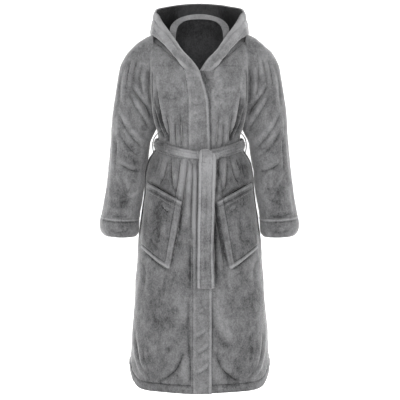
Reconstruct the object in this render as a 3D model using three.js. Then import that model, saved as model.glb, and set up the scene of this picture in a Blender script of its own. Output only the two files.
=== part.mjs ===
// Hooded bathrobe, worn shape. Units mm, +Z up, front faces -Y, the wearer's right is -X.
// Heights below are first written from the hem and then moved so that the origin is the shoulder seat.
import * as THREE from 'three';

const SEAT_Z = 1190;          // height of the shoulder seat above the hem line
const FABRIC = 3.5;           // pile fabric thickness
const BAND = 4.5;             // doubled front band
const OVERLAP = 6;            // how far the right front stands off the left front
const HEM_LOW = 10;           // lowest hem height
const HEM_RISE = 57;          // how much the hem rises at the side seams
const ARM_Z = 1055, ARM_H = 150, ARM_D = 62;   // armhole loop: centre height, half height, half depth
const PIT_Z = ARM_Z - ARM_H + 4;
const WAIST_TOP = 834, WAIST_LOW = 822;        // the two cut edges hidden under the belt
const BELT_OFF = 15, BELT_T = 4.5;

const interp = (tab, x) => {
  if (x <= tab[0][0]) return tab[0][1];
  for (let i = 1; i < tab.length; i++) if (x <= tab[i][0]) {
    const t = (x - tab[i - 1][0]) / (tab[i][0] - tab[i - 1][0]);
    return tab[i - 1][1] + (tab[i][1] - tab[i - 1][1]) * t;
  }
  return tab[tab.length - 1][1];
};
const sm = (a, b, x) => { const t = Math.min(1, Math.max(0, (x - a) / (b - a))); return t * t * (3 - 2 * t); };
const mix = (a, b, t) => a + (b - a) * t;

// half width of the body by height
const A = [[0, 243.7], [67, 243.7], [110, 237], [176, 236], [241, 230], [306, 224], [371, 221], [435, 215], [500, 212], [542, 207], [589, 201], [633, 193], [691, 184], [733, 181], [755, 179], [776, 174], [797, 166], [818, 151], [860, 137], [881, 136], [909, 146], [960, 156], [1010, 161], [1070, 163], [1300, 163]];
// front and back depth by height
const YF = [[0, -172], [16, -172], [334, -158], [662, -130], [740, -120], [777, -112], [815, -101], [850, -100], [878, -108], [960, -122], [1035, -128], [1082, -124], [1111, -118], [1128, -110], [1150, -96], [1169, -79], [1182, -62], [1194, -45], [1208, -24], [1218, -6], [1226, 4]];
const YB = [[0, 168], [330, 152], [662, 128], [740, 116], [777, 106], [815, 94], [850, 93], [900, 104], [1000, 116], [1100, 113], [1200, 100], [1250, 90], [1290, 80]];
// inner line of the front panel (band seam, then neckline)
const XN = [[0, 27], [777, 25.5], [836, 42], [1036, 42], [1082, 48], [1108, 53], [1150, 76], [1180, 91], [1200, 98], [1226, 101]];
// free edge of the front band
const XE = [[0, 38], [777, 37], [836, 34], [1012, 28], [1063, 15], [1108, -2]];

const armY = z => { const q = (z - ARM_Z) / ARM_H; return Math.abs(q) >= 1 ? 0 : ARM_D * Math.sqrt(1 - q * q); };
const N = 2.3;
// x is signed, side is -1 for the front and +1 for the back
const bodyY = (x, z, side) => {
  const a = interp(A, z), e = armY(z), d = side < 0 ? -interp(YF, z) : interp(YB, z);
  const q = Math.min(1, Math.abs(x) / a);
  return side * (e + Math.max(0, d - e) * Math.pow(Math.max(0, 1 - Math.pow(q, N)), 1 / N));
};
const ring = (f, z, side) => {          // f from -1 (wearer's right side seam) to 1 (left side seam)
  const a = interp(A, z), s = Math.sin(f * Math.PI / 2), x = a * Math.sign(s) * Math.pow(Math.abs(s), 2 / N);
  return [x, bodyY(x, z, side), z];
};
const angleOf = (x, z) => Math.asin(Math.pow(Math.min(1, Math.abs(x) / interp(A, z)), N / 2)) / (Math.PI / 2) * Math.sign(x);

const V = p => new THREE.Vector3(p[0], p[1], p[2]);
const group = new THREE.Group();
const GREY = 0x87878a, LIGHT = 0xa9a9ac, DARK = 0x77777a;
function add(name, geo, color) {
  const m = new THREE.Mesh(geo, new THREE.MeshStandardMaterial({ color, roughness: 0.95, metalness: 0 }));
  m.name = name; group.add(m); return m;
}
// A closed sheet: surface fn(u,v) thickened along its normal from `off` to `off+t`; `wrap` closes it into a tube in u.
function shell(fn, nu, nv, t, { off = 0, flip = false, wrap = false, fit = null } = {}) {
  const cu = wrap ? nu : nu + 1, cv = nv + 1, P = [], Q = [];
  const e = 1e-3;
  for (let j = 0; j < cv; j++) for (let i = 0; i < cu; i++) {
    const u = i / nu, v = j / nv, p = V(fn(u, v));
    const u0 = wrap ? u - e : Math.max(0, u - e), u1 = wrap ? u + e : Math.min(1, u + e);
    const v0 = Math.max(0, v - e), v1 = Math.min(1, v + e);
    const n = V(fn(u1, v)).sub(V(fn(u0, v))).cross(V(fn(u, v1)).sub(V(fn(u, v0)))).normalize();
    if (flip) n.negate();
    const o = typeof off === 'function' ? off(p, u, v) : off, tt = typeof t === 'function' ? t(u, v) : t;
    const a = p.clone().addScaledVector(n, o), b = p.clone().addScaledVector(n, o + tt);
    if (fit) { fit(a); fit(b); }
    P.push(a); Q.push(b);
  }
  const pos = [], push = (...k) => k.forEach(q => pos.push(q.x, q.y, q.z - SEAT_Z));
  const quad = (a, b, c, d) => { if (flip) { push(a, c, b); push(a, d, c); } else { push(a, b, c); push(a, c, d); } };
  const at = (L, i, j) => L[j * cu + (wrap ? (i + nu) % nu : i)];
  for (let j = 0; j < nv; j++) for (let i = 0; i < nu; i++) {
    quad(at(Q, i, j), at(Q, i + 1, j), at(Q, i + 1, j + 1), at(Q, i, j + 1));
    quad(at(P, i, j), at(P, i, j + 1), at(P, i + 1, j + 1), at(P, i + 1, j));
  }
  for (let i = 0; i < nu; i++) {
    quad(at(P, i, 0), at(P, i + 1, 0), at(Q, i + 1, 0), at(Q, i, 0));
    quad(at(Q, i, nv), at(Q, i + 1, nv), at(P, i + 1, nv), at(P, i, nv));
  }
  if (!wrap) for (let j = 0; j < nv; j++) {
    quad(at(Q, 0, j), at(Q, 0, j + 1), at(P, 0, j + 1), at(P, 0, j));
    quad(at(P, nu, j), at(P, nu, j + 1), at(Q, nu, j + 1), at(Q, nu, j));
  }
  const g = new THREE.BufferGeometry();
  g.setAttribute('position', new THREE.Float32BufferAttribute(pos, 3));
  g.computeVertexNormals();
  return g;
}
const mirror = fn => (u, v) => { const p = fn(u, v); return [-p[0], p[1], p[2]]; };
// rows at the heights where the outline turns
const pick = (list, v) => { const k = Math.min(list.length - 1 - 1e-9, v * (list.length - 1)), i = Math.floor(k); return mix(list[i], list[i + 1], k - i); };
const LOW_ROWS = [110, 240, 370, 500, 600, 690, 755, 797];
const MID_ROWS = [822, 850, 880, 909];
const hemZ = f => HEM_LOW + HEM_RISE * Math.pow(Math.abs(Math.sin(f * Math.PI / 2)), 14);
const GAP = 0.35;                         // clearance between neighbouring pieces, in mm
const rise = x => OVERLAP * sm(150, 70, Math.abs(x));     // stand-off of the right front towards its edge

// ---- back panel: one piece from hem to neckline ----
const neckY = x => Math.abs(x) >= 100 ? 10 : 10 + 70 * Math.sqrt(1 - (x / 100) ** 2);
const neckZ = x => Math.abs(x) >= 100 ? mix(1222, 1203, Math.min(1, (Math.abs(x) - 100) / 63)) : 1222 + 58 * (1 - Math.pow(Math.abs(x) / 100, 2.5));
const backRows = (u, v) => {
  const f = mix(-0.992, 0.992, u), zz = 12 / 20;
  if (v < zz) { const z = pick([hemZ(f), ...LOW_ROWS, ...MID_ROWS], v / zz); return ring(f, z, 1); }
  const w = (v - zz) / (1 - zz), s = Math.sin(f * Math.PI / 2), xa = 163 * Math.sign(s) * Math.pow(Math.abs(s), 2 / N);
  const zt = neckZ(xa * 1.0), z = mix(PIT_Z, zt, w);
  const x = interp(A, z) / 163 * xa;
  const y = mix(bodyY(x, z, 1), neckY(x) + 2, sm(0.72, 1, w));
  return [x, y, z];
};
add('back_panel', shell(backRows, 16, 20, FABRIC, { flip: true }), GREY);

// ---- front panels ----
const frontUpper = (u, v) => {            // wearer's right, x negative
  const ztop = mix(1203, 1224, Math.pow(u, 1.0)), z = pick([WAIST_TOP, 860, 885, 909, 960, 1035, 1082, 1128, mix(1169, 1162, 1 - u), mix(1198, 1186, 1 - u), ztop], v);
  const xo = -interp(A, z) * 0.9995, xi = -interp(XN, z) - GAP;
  const f0 = z < PIT_Z ? -0.992 : -1, f1 = angleOf(xi, z), f = mix(f0, f1, u);
  const s = Math.sin(f * Math.PI / 2), x = -interp(A, z) * Math.pow(Math.abs(s), 2 / N);
  let y = bodyY(x, z, -1);
  y = mix(y, 5, sm(0.9, 1, v));
  return [x, y, z];
};
const fadeTop = z => sm(1150, 1090, z);
add('front_right_upper', shell(frontUpper, 8, 10, FABRIC, { off: p => rise(p.x) * fadeTop(p.z) }), GREY);
add('front_left_upper', shell(mirror(frontUpper), 8, 10, FABRIC, { flip: true }), GREY);
const frontSkirt = (u, v) => {
  const at = z => mix(-0.992, angleOf(-interp(XN, z) - GAP, z), u);
  const z = pick([hemZ(at(HEM_LOW)), ...LOW_ROWS, WAIST_LOW], v);
  return ring(at(z), z, -1);
};
add('front_right_skirt', shell(frontSkirt, 9, 9, FABRIC, { off: p => rise(p.x) }), GREY);
add('front_left_skirt', shell(mirror(frontSkirt), 9, 9, FABRIC, { flip: true }), GREY);

// ---- front bands ----
const bandPt = (u, z) => { const x = mix(-interp(XN, z) + GAP, interp(XE, z), u); return [x, bodyY(x, z, -1), z]; };
const bandUp = (u, v) => bandPt(u, pick([WAIST_TOP, 860, 909, 960, 1035, 1063, 1082, 1104], v));
const bandLow = (u, v) => bandPt(u, pick([HEM_LOW, ...LOW_ROWS, WAIST_LOW], v));
add('front_band_right_upper', shell(bandUp, 3, 7, BAND, { off: OVERLAP }), GREY);
add('front_band_right_lower', shell(bandLow, 3, 9, BAND, { off: OVERLAP }), GREY);
add('front_band_left_upper', shell(mirror(bandUp), 3, 7, BAND, { flip: true }), GREY);
add('front_band_left_lower', shell(mirror(bandLow), 3, 9, BAND, { flip: true }), GREY);

// ---- sleeves: rings given by their outer/top point, inner/bottom point, half depth and centre y ----
const SL = [ // xT zT xB zB depth cy
  [-176, 1203, -162, 908, 60, 2], [-217, 1178, -171, 888, 64, 0], [-254, 1138, -176, 862, 66, -3], [-279, 1078, -181, 826, 66, -8],
  [-293, 995, -186, 778, 66, -12], [-303, 870, -193, 735, 64, -16], [-314, 765, -199, 692, 62, -20], [-326, 668, -206, 640, 62, -24], [-336, 604, -211, 598, 62, -26]];
const CU = [[-336, 601, -211, 595, 62, -26], [-339, 575, -213, 571, 62, -27], [-337, 547, -217, 543, 60, -28]];
const tube = rows => (u, v) => {
  const k = Math.min(rows.length - 1 - 1e-9, Math.max(0, v * (rows.length - 1))), i = Math.floor(k), t = k - i;
  const r = rows[i].map((q, n) => mix(q, rows[Math.min(i + 1, rows.length - 1)][n], t));
  const a = u * 2 * Math.PI, c = Math.cos(a), s = Math.sin(a);
  return [(r[0] + r[2]) / 2 + (r[0] - r[2]) / 2 * c, r[5] + r[4] * s, (r[1] + r[3]) / 2 + (r[1] - r[3]) / 2 * c];
};
add('sleeve_right', shell(tube(SL), 18, 10, FABRIC, { wrap: true }), GREY);
add('sleeve_left', shell(mirror(tube(SL)), 18, 10, FABRIC, { wrap: true, flip: true }), GREY);
add('cuff_right', shell(tube(CU), 18, 2, BAND, { wrap: true }), GREY);
add('cuff_left', shell(mirror(tube(CU)), 18, 2, BAND, { wrap: true, flip: true }), GREY);

// ---- hood: cross-sections from the neckline over the bulge to the rim, front end first ----
const HD = [
  [[-47, -127, 1112], [-42, -130, 1114], [-22, -132, 1115], [-4, -130, 1115]],
  [[-76, -108, 1154], [-86, -110, 1154], [-72, -118, 1162], [-35, -110, 1154]],
  [[-94, -76, 1188], [-122, -72, 1184], [-122, -84, 1200], [-73, -78, 1194]],
  [[-104, -14, 1234], [-165, -6, 1222], [-175, -20, 1240], [-113, -22, 1252]],
  [[-106, 30, 1242], [-170, 40, 1200], [-185, 35, 1252], [-138, 15, 1297]],
  [[-94, 66, 1260], [-150, 118, 1140], [-185, 118, 1216], [-146, 45, 1306]],
  [[-60, 92, 1283], [-105, 168, 1062], [-148, 230, 1166], [-104, 125, 1323]],
  [[0, 99.5, 1297], [-2, 180, 1012], [-2, 266, 1132], [0, 192, 1333]]];
const hood = (u, v) => {
  const k = u * (HD.length - 1), i = Math.min(HD.length - 2, Math.floor(k)), t = k - i;
  const c = [0, 1, 2, 3].map(n => [0, 1, 2].map(q => mix(HD[i][n][q], HD[i + 1][n][q], t)));
  const b = [(1 - v) ** 3, 3 * v * (1 - v) ** 2, 3 * v * v * (1 - v), v ** 3];
  const p = [0, 1, 2].map(q => b.reduce((s, w, n) => s + w * c[n][q], 0));
  return p;
};
add('hood_right_half', shell(hood, 14, 8, FABRIC, { fit: p => { p.x = Math.min(p.x, -0.5); } }), GREY);
add('hood_left_half', shell(mirror(hood), 14, 8, FABRIC, { flip: true, fit: p => { p.x = Math.max(p.x, 0.5); } }), GREY);

// ---- neck tape, inside the back neck seam ----
const tape = (u, v) => { const x = mix(-93, 93, u); return [x * 0.97, neckY(x) - 3.5, neckZ(x) - 4 - 16 * (1 - v)]; };
add('neck_tape', shell(tape, 14, 1, 1.6, {}), LIGHT);

// ---- pockets: patches on the skirt fronts ----
const PK = { a: [-176, 712], b: [-68, 668], c: [-104, 440], d: [-200, 494] };
const pocketAt = (u, v) => {
  const x = mix(mix(PK.d[0], PK.c[0], u), mix(PK.a[0], PK.b[0], u), v), z = mix(mix(PK.d[1], PK.c[1], u), mix(PK.a[1], PK.b[1], u), v);
  return [x, bodyY(x, z, -1), z];
};
const pk = (lo, hi) => (u, v) => pocketAt(u, mix(lo, hi, v));
add('pocket_right', shell(pk(0, 0.9), 10, 6, FABRIC, { off: (p, u, v) => rise(p.x) + 6.5 + 24 * v * v * Math.sin(Math.PI * u) }), GREY);
add('pocket_left', shell(mirror(pk(0, 0.9)), 10, 6, FABRIC, { flip: true, off: (p, u, v) => 6.5 + 24 * v * v * Math.sin(Math.PI * u) }), GREY);
add('pocket_hem_right', shell(pk(0.904, 1), 10, 1, BAND, { off: (p, u, v) => rise(p.x) + 6.5 + 24 * Math.sin(Math.PI * u) }), DARK);
add('pocket_hem_left', shell(mirror(pk(0.904, 1)), 10, 1, BAND, { flip: true, off: (p, u, v) => 6.5 + 24 * Math.sin(Math.PI * u) }), DARK);

// ---- belt ----
const beltPt = (a, z) => {
  const c = Math.cos(a), x = interp(A, z) * Math.sign(c) * Math.pow(Math.abs(c), 2 / N);
  return [x, bodyY(x, z, Math.sin(a) < 0 ? -1 : 1), z];
};
const belt = (u, v) => { const a = u * 2 * Math.PI; return beltPt(a, mix(812, 856, v) + 10 * Math.abs(Math.cos(a)) ** 2); };
add('belt_wrap', shell(belt, 24, 2, BELT_T, { wrap: true, off: BELT_OFF }), LIGHT);
const blob = (cx, cy, cz, rx, ry, rz, nu, nv) => {
  const g = new THREE.SphereGeometry(1, nu, nv); g.scale(rx, ry, rz); g.translate(cx, cy, cz - SEAT_Z); return g;
};
add('belt_knot', blob(6, -136, 833, 30, 12, 18, 14, 8), LIGHT);
const TAIL_TOP = 800;
const tail = (w0, w1, x0, y0, y1, zb) => (u, v) => [mix(x0 - mix(w1, w0, v) / 2, x0 + mix(w1, w0, v) / 2, u), mix(y1, y0, v), mix(zb, TAIL_TOP, v)];
add('belt_tail_inner', shell(tail(40, 54, 25, -134, -182, 392), 2, 6, 4, {}), LIGHT);
add('belt_tail_outer', shell(tail(44, 54, 26, -141, -189, 378), 2, 6, 4, {}), LIGHT);

// ---- belt loops at the side seams: thin cords standing off the belt ----
const loopGeo = side => {
  const path = new THREE.CatmullRomCurve3([[143.5, 886], [156, 880], [163, 866], [168, 846], [171, 822], [173, 808], [173, 796]].map(p => new THREE.Vector3(side * p[0], 10, p[1] - SEAT_Z)));
  const r = 1.6, n = 12, m = 6, pos = [], fr = [];
  for (let i = 0; i <= n; i++) {
    const p = path.getPoint(i / n), t = path.getTangent(i / n), b = new THREE.Vector3(0, 1, 0), nn = new THREE.Vector3().crossVectors(b, t).normalize();
    fr.push([...Array(m).keys()].map(k => { const a = k / m * 2 * Math.PI; return p.clone().addScaledVector(nn, r * Math.cos(a)).addScaledVector(b, r * Math.sin(a)); }));
  }
  const tri = (a, b, c) => pos.push(...a.toArray(), ...b.toArray(), ...c.toArray());
  for (let i = 0; i < n; i++) for (let k = 0; k < m; k++) {
    const a = fr[i][k], b = fr[i][(k + 1) % m], c = fr[i + 1][(k + 1) % m], d = fr[i + 1][k]; tri(a, b, c); tri(a, c, d);
  }
  for (let k = 1; k < m - 1; k++) { tri(fr[0][0], fr[0][k + 1], fr[0][k]); tri(fr[n][0], fr[n][k], fr[n][k + 1]); }
  const g = new THREE.BufferGeometry(); g.setAttribute('position', new THREE.Float32BufferAttribute(pos, 3)); g.computeVertexNormals(); return g;
};
add('belt_loop_right', loopGeo(-1), DARK);
add('belt_loop_left', loopGeo(1), DARK);

// ---- hanging loop outside the back neck, under the hood ----
const hang = (u, v) => { const a = mix(0, Math.PI, u); return [34 * Math.cos(a), 111 + 5 * Math.sin(a) + (v - 0.5) * 0, 1222 - 30 * Math.sin(a) + 7 * (v - 0.5)]; };
add('hanger_loop', shell(hang, 12, 1, 1.6, { flip: true }), LIGHT);

export default group;
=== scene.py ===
# Looks of a hooded plush bathrobe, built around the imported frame. Heights are written in mm from the hem line and moved to the frame's seat origin when meshes are made.
import math

import bpy
import numpy as np
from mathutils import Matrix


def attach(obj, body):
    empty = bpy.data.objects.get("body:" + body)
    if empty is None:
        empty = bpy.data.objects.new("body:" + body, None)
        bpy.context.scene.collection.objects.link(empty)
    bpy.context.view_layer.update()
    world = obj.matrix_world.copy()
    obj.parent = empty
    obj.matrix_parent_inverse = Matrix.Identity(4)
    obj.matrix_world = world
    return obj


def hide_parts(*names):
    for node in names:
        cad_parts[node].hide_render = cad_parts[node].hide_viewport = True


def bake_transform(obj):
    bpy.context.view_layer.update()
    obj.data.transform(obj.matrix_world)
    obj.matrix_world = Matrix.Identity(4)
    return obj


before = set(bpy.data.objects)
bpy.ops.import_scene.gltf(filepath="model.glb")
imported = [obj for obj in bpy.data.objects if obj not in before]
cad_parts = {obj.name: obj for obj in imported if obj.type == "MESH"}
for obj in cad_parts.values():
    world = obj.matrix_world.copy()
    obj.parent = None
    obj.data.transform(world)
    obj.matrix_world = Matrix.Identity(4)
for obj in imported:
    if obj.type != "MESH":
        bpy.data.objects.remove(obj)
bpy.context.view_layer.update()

SEAT = 1190.0
STEP = 3.2

# ------------------------------------------------------------------ camera
PITCH = math.radians(8.0)
DIST = 5000.0
AIM_Z = 656.0
K = 3.5
CAM = np.array([0.0, -DIST * math.cos(PITCH), AIM_Z + DIST * math.sin(PITCH)])
FWD = np.array([0.0, math.cos(PITCH), -math.sin(PITCH)])
UPV = np.array([0.0, math.sin(PITCH), math.cos(PITCH)])


def project(P):
    Q = P - CAM
    dep = Q @ FWD
    return 199.5 + Q[..., 0] / dep * DIST / K, 200.0 - (Q @ UPV) / dep * DIST / K


def unproject(px, py, y):
    px, py, y = np.broadcast_arrays(np.asarray(px, float), np.asarray(py, float), np.asarray(y, float))
    d = FWD * DIST + np.stack([(px - 199.5) * K, 0 * px, 0 * px], -1) + UPV * ((200.0 - py) * K)[..., None]
    t = (y - CAM[1]) / d[..., 1]
    return CAM + d * t[..., None]


cam_data = bpy.data.cameras.new("camera")
cam_data.sensor_width = 36.0
cam_data.lens = 36.0 * DIST / (400 * K)
cam = bpy.data.objects.new("camera", cam_data)
bpy.context.scene.collection.objects.link(cam)
cam.location = ((0.5 * K + CAM[0]) / 1000, CAM[1] / 1000, (CAM[2] - SEAT) / 1000)
cam.rotation_euler = (math.pi / 2 - PITCH, 0, 0)
cam_data.clip_end = 60
bpy.context.scene.camera = cam

# ------------------------------------------------------------------ shape tables


def table(rows, soft):
    zs = np.arange(-100.0, 1500.0, 2.0)
    v = np.interp(zs, [r[0] for r in rows], [r[1] for r in rows])
    k = np.exp(-0.5 * (np.arange(-40, 41) * 2.0 / soft) ** 2)
    k /= k.sum()
    v = np.convolve(np.pad(v, 40, mode="edge"), k, mode="valid")
    return lambda z: np.interp(z, zs, v)


A = table([[0, 243.7], [67, 243.7], [110, 237], [176, 236], [241, 230], [306, 224], [371, 222], [435, 215.5], [500, 213], [542, 208], [589, 202], [633, 194], [691, 185], [733, 183], [755, 181], [776, 176], [797, 168], [818, 151], [845, 138], [860, 136.5], [881, 134], [905, 144], [960, 156], [1010, 161], [1070, 163], [1300, 163]], 9)
YF = table([[0, -172], [16, -172], [334, -158], [662, -130], [740, -120], [777, -112], [815, -101], [850, -100], [878, -108], [960, -122], [1035, -128], [1082, -124], [1111, -118], [1128, -110], [1150, -96], [1169, -79], [1182, -64], [1194, -48], [1208, -28], [1218, -12], [1228, 2]], 8)
YB = table([[0, 168], [330, 152], [662, 128], [740, 116], [777, 106], [815, 94], [850, 93], [900, 104], [1000, 116], [1100, 113], [1200, 100], [1250, 90], [1290, 80]], 12)
XN = table([[0, 26.5], [777, 25.5], [815, 38], [836, 42], [1036, 42], [1082, 46], [1108, 51], [1150, 74], [1180, 90], [1200, 97], [1226, 101]], 5)
XE = table([[0, 39], [777, 39], [836, 34], [1012, 28], [1063, 15], [1108, -3]], 5)
N = 2.3
ARM_Z, ARM_H, ARM_D = 1055.0, 150.0, 62.0


def arm_y(z):
    q = (z - ARM_Z) / ARM_H
    return ARM_D * np.sqrt(np.clip(1 - q * q, 0, 1))


def body_y(x, z, side):
    a, e = A(z), arm_y(z)
    d = -YF(z) if side < 0 else YB(z)
    q = np.clip(np.abs(x) / a, 0, 1)
    return side * (e + np.clip(d - e, 0, None) * np.clip(1 - q ** N, 0, 1) ** (1 / N))


def ring_x(f, z):
    s = np.sin(f * np.pi / 2)
    return A(z) * np.sign(s) * np.abs(s) ** (2 / N)


def f_of(x, z):
    return np.arcsin(np.clip(np.abs(x) / A(z), 0, 1) ** (N / 2)) / (np.pi / 2) * np.sign(x)


def sm(a, b, x):
    t = np.clip((x - a) / (b - a), 0, 1)
    return t * t * (3 - 2 * t)


def hem_z(f):
    return 9 + 57 * np.abs(np.sin(f * np.pi / 2)) ** 14


# ------------------------------------------------------------------ smooth noise
_lat = np.random.RandomState(7).rand(32, 32, 32)


def vnoise(P):
    i = np.floor(P).astype(int)
    f = P - i
    f = f * f * (3 - 2 * f)
    out = 0
    for dx in (0, 1):
        for dy in (0, 1):
            for dz in (0, 1):
                w = (f[..., 0] if dx else 1 - f[..., 0]) * (f[..., 1] if dy else 1 - f[..., 1]) * (f[..., 2] if dz else 1 - f[..., 2])
                out = out + w * _lat[(i[..., 0] + dx) % 32, (i[..., 1] + dy) % 32, (i[..., 2] + dz) % 32]
    return out * 2 - 1


def fbm(P, size, octaves=3, shift=0.0):
    out, amp, s = 0, 1.0, size
    for k in range(octaves):
        out = out + amp * vnoise(P / s + shift + 5.3 * k)
        amp *= 0.5
        s = s * 0.5
    return out / 1.75


# broad patches of painted shade and painted highlight, darker in hollows such as the skirt sides, the armpits and
# between belt and pockets, lighter beside the belt tail, on the hood sides, the shoulders and at the lapel ends: place,
# spread, amount
PAINTED_SHADE_PATCHES = [(153, 345, 20, 60, -0.26), (150, 290, 14, 28, -0.16), (190, 172, 12, 20, 0.42), (153, 166, 9, 13, -0.45), (167, 184, 8, 10, -0.3), (161, 30, 6, 11, 0.55), (184, 76, 7, 9, 0.3), (190, 95, 9, 18, 0.15),
         (118, 208, 12, 32, -0.20), (147, 106, 5, 12, -0.25), (150, 62, 14, 8, 0.12), (161, 120, 4, 16, -0.1), (183, 228, 5, 30, -0.25), (189, 250, 6, 20, -0.2), (172, 345, 8, 22, 0.1)]


def crinkle(P, size, shift=0.0):
    """Sharp crossing creases, as in crushed pile: 0 in the flat, 1 on a crest."""
    Q = P + 0.35 * size * np.stack([vnoise(P / size + shift + 3), vnoise(P / size + shift + 11), vnoise(P / size + shift + 19)], -1)
    a = 1 - np.abs(vnoise(Q / size + shift)) * 2.2
    b = 1 - np.abs(vnoise(Q / (0.55 * size) + shift + 7)) * 2.2
    return np.clip(a, 0, 1) ** 2 * 0.7 + np.clip(b, 0, 1) ** 2 * 0.4


# ------------------------------------------------------------------ folds, drawn as strokes in the front view, with painted shade in their valleys and painted highlight on their crests
def curve(points, n=14):
    p = np.asarray(points, float)
    if len(p) == 2:
        return p[0] + (p[1] - p[0]) * np.linspace(0, 1, n)[:, None]
    q = np.vstack([2 * p[0] - p[1], p, 2 * p[-1] - p[-2]])
    out = []
    m = max(3, n // (len(p) - 1))
    for k in range(1, len(q) - 2):
        t = np.linspace(0, 1, m, endpoint=False)[:, None]
        a, b, c, d = q[k - 1], q[k], q[k + 1], q[k + 2]
        out.append(0.5 * (2 * b + (c - a) * t + (2 * a - 5 * b + 4 * c - d) * t * t + (3 * b - a - 3 * c + d) * t ** 3))
    return np.vstack(out + [p[-1:]])


def strokes_field(P, strokes):
    """Displacement in mm and a painted lightness from -1 (painted shade in a deep fold) to 1 (painted highlight on a
    crest).
    """
    px, py = project(P)
    D = np.zeros(px.shape)
    T = np.zeros(px.shape)
    for pts, w, d, *own in strokes:
        c = curve(pts)
        lo, hi = c.min(0) - 3 * w - 1, c.max(0) + 3 * w + 1
        m = (px > lo[0]) & (px < hi[0]) & (py > lo[1]) & (py < hi[1])
        if not m.any():
            continue
        x, y = px[m], py[m]
        best = np.full(x.shape, 1e9)
        par = np.zeros(x.shape)
        for k in range(len(c) - 1):
            ab = c[k + 1] - c[k]
            L = ab @ ab + 1e-9
            t = np.clip(((x - c[k, 0]) * ab[0] + (y - c[k, 1]) * ab[1]) / L, 0, 1)
            r = (x - c[k, 0] - ab[0] * t) ** 2 + (y - c[k, 1] - ab[1] * t) ** 2
            b = r < best
            best[b] = r[b]
            par[b] = (k + t[b]) / (len(c) - 1)
        g = np.exp(-best / (w * w)) * (0.25 + 0.75 * sm(0, 0.3, par) * sm(1, 0.75, par)) * sm(0, 0.06, par) * sm(1, 0.94, par)
        D[m] += d * g
        # the stroke's own painted value when given, else painted shade along valleys and painted highlight along crests
        T[m] += g * (own[0] if own else np.sign(d) * min(1.0, abs(d) / 8.0) * (0.62 if d > 0 else 0.9))
    return D, T


def mirrored(st):
    return [([(399 - q[0], q[1]) for q in t[0]], *t[1:]) for t in st]


BODICE = [
    ([(150.5, 39.5), (160, 47.0), (169.6, 55.2), (179.4, 62.2), (188, 69.5)], 1.3, -5),
    ([(157.5, 88), (159.5, 104), (162.5, 118), (167.5, 134), (169.5, 143)], 1.5, -9),
    ([(160.5, 92), (163, 108), (166, 121), (170, 134)], 1.7, 5),
    ([(154.3, 104), (158, 120), (162, 130), (166.5, 140)], 1.3, -8),
    ([(156.2, 98), (159, 114), (163, 127), (167, 137)], 1.2, 4),
    ([(166.6, 114), (169.0, 126), (171, 143)], 1.3, -7),
    ([(172.6, 112), (173.6, 128), (174, 145)], 1.8, 4),
    ([(175.2, 122), (176.5, 134), (177.4, 148)], 1.2, -5),
    ([(180.2, 112), (181.6, 128), (182.6, 148)], 1.2, -5),
    ([(178.8, 118), (179.4, 132), (180, 147)], 1.2, 3),
    ([(184.8, 118), (185.8, 134), (186.3, 148)], 1.3, 3),
    ([(159.0, 65.7), (167, 66.2), (176, 65.5)], 0.8, -2.6),
    ([(160, 87), (170, 90), (182, 87)], 2.6, 2),
    ([(163, 96), (172, 99), (184, 95)], 2.0, -2),
    ([(176, 76), (181, 81), (184, 88)], 1.6, 2.5),
    ([(179, 74), (183.5, 80), (186, 90)], 1.2, -2),
    ([(153.6, 70), (153.3, 86), (153.6, 104)], 1.1, -3),
    ([(155.4, 72), (155.2, 88), (156.4, 100)], 1.0, 2),
]
SKIRT = [
    ([(170.0, 156), (167.6, 167), (164.6, 178), (159.5, 186)], 1.1, -6),
    ([(168, 158), (165.2, 168), (162, 178)], 1.2, 3),
    ([(161, 158), (158, 166), (155, 178)], 1.2, -3),
    ([(164.5, 157), (162.0, 164), (159.5, 171)], 1.0, -4),
    ([(172.6, 156), (172.4, 170), (173.5, 184), (176.8, 195)], 1.2, -7),
    ([(175.5, 158), (175.6, 172), (177.5, 188)], 1.5, 4),
    ([(181.4, 159), (180.0, 172), (177.8, 188), (176.0, 199)], 1.0, -6),
    ([(147.6, 181.4), (156, 186.4), (166, 192.4), (176.4, 198.2)], 1.2, -12),
]
SKIRT += [
    ([(182.6, 201), (179.6, 224), (175.0, 248), (171.2, 268)], 1.5, -8),
    ([(143.6, 250.5), (156, 261.5), (168.6, 271.2)], 1.4, -6),
    ([(147.0, 184), (143.4, 205), (140.8, 228), (140.6, 246)], 1.2, -4),
    ([(150, 186), (160, 192), (170, 197.4), (178, 201)], 2.4, -6),
]
SKIRT_R = [  # wearer's right only
    ([(185.5, 158), (184, 172), (181.6, 188), (180.8, 200)], 2.0, 11),
    ([(188.6, 160), (187.0, 176), (184.5, 192), (182.5, 215), (180.5, 240)], 1.1, -6),
    ([(191.0, 159), (190.0, 176), (188.6, 198), (187.4, 230)], 1.4, 9),
    ([(193.4, 160), (192.6, 180), (191.6, 205), (190.8, 240)], 1.0, -5.5),
    ([(195.8, 159), (195.4, 182), (194.6, 214), (194.0, 250)], 1.2, 7),
    ([(198.0, 160), (197.4, 182), (196.8, 214), (196.2, 250)], 0.9, -4),
    ([(186, 205), (184.5, 235), (185, 262)], 2.6, 3),
    ([(190.6, 240), (190.2, 262), (190.4, 290)], 1.4, -5),
]
SKIRT_L = [
    ([(217.8, 157), (217, 175), (215.5, 196)], 1.4, -6),
    ([(221, 158), (220.5, 172), (219, 188)], 1.5, 3),
    ([(214.0, 200), (215.8, 218), (219.2, 238), (222.6, 258), (224, 272)], 1.2, -15),
    ([(217.6, 204), (220.0, 226), (223.6, 246)], 1.0, 5),
    ([(214.0, 215), (214.6, 245), (216.5, 284)], 2.0, -11),
]
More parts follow.
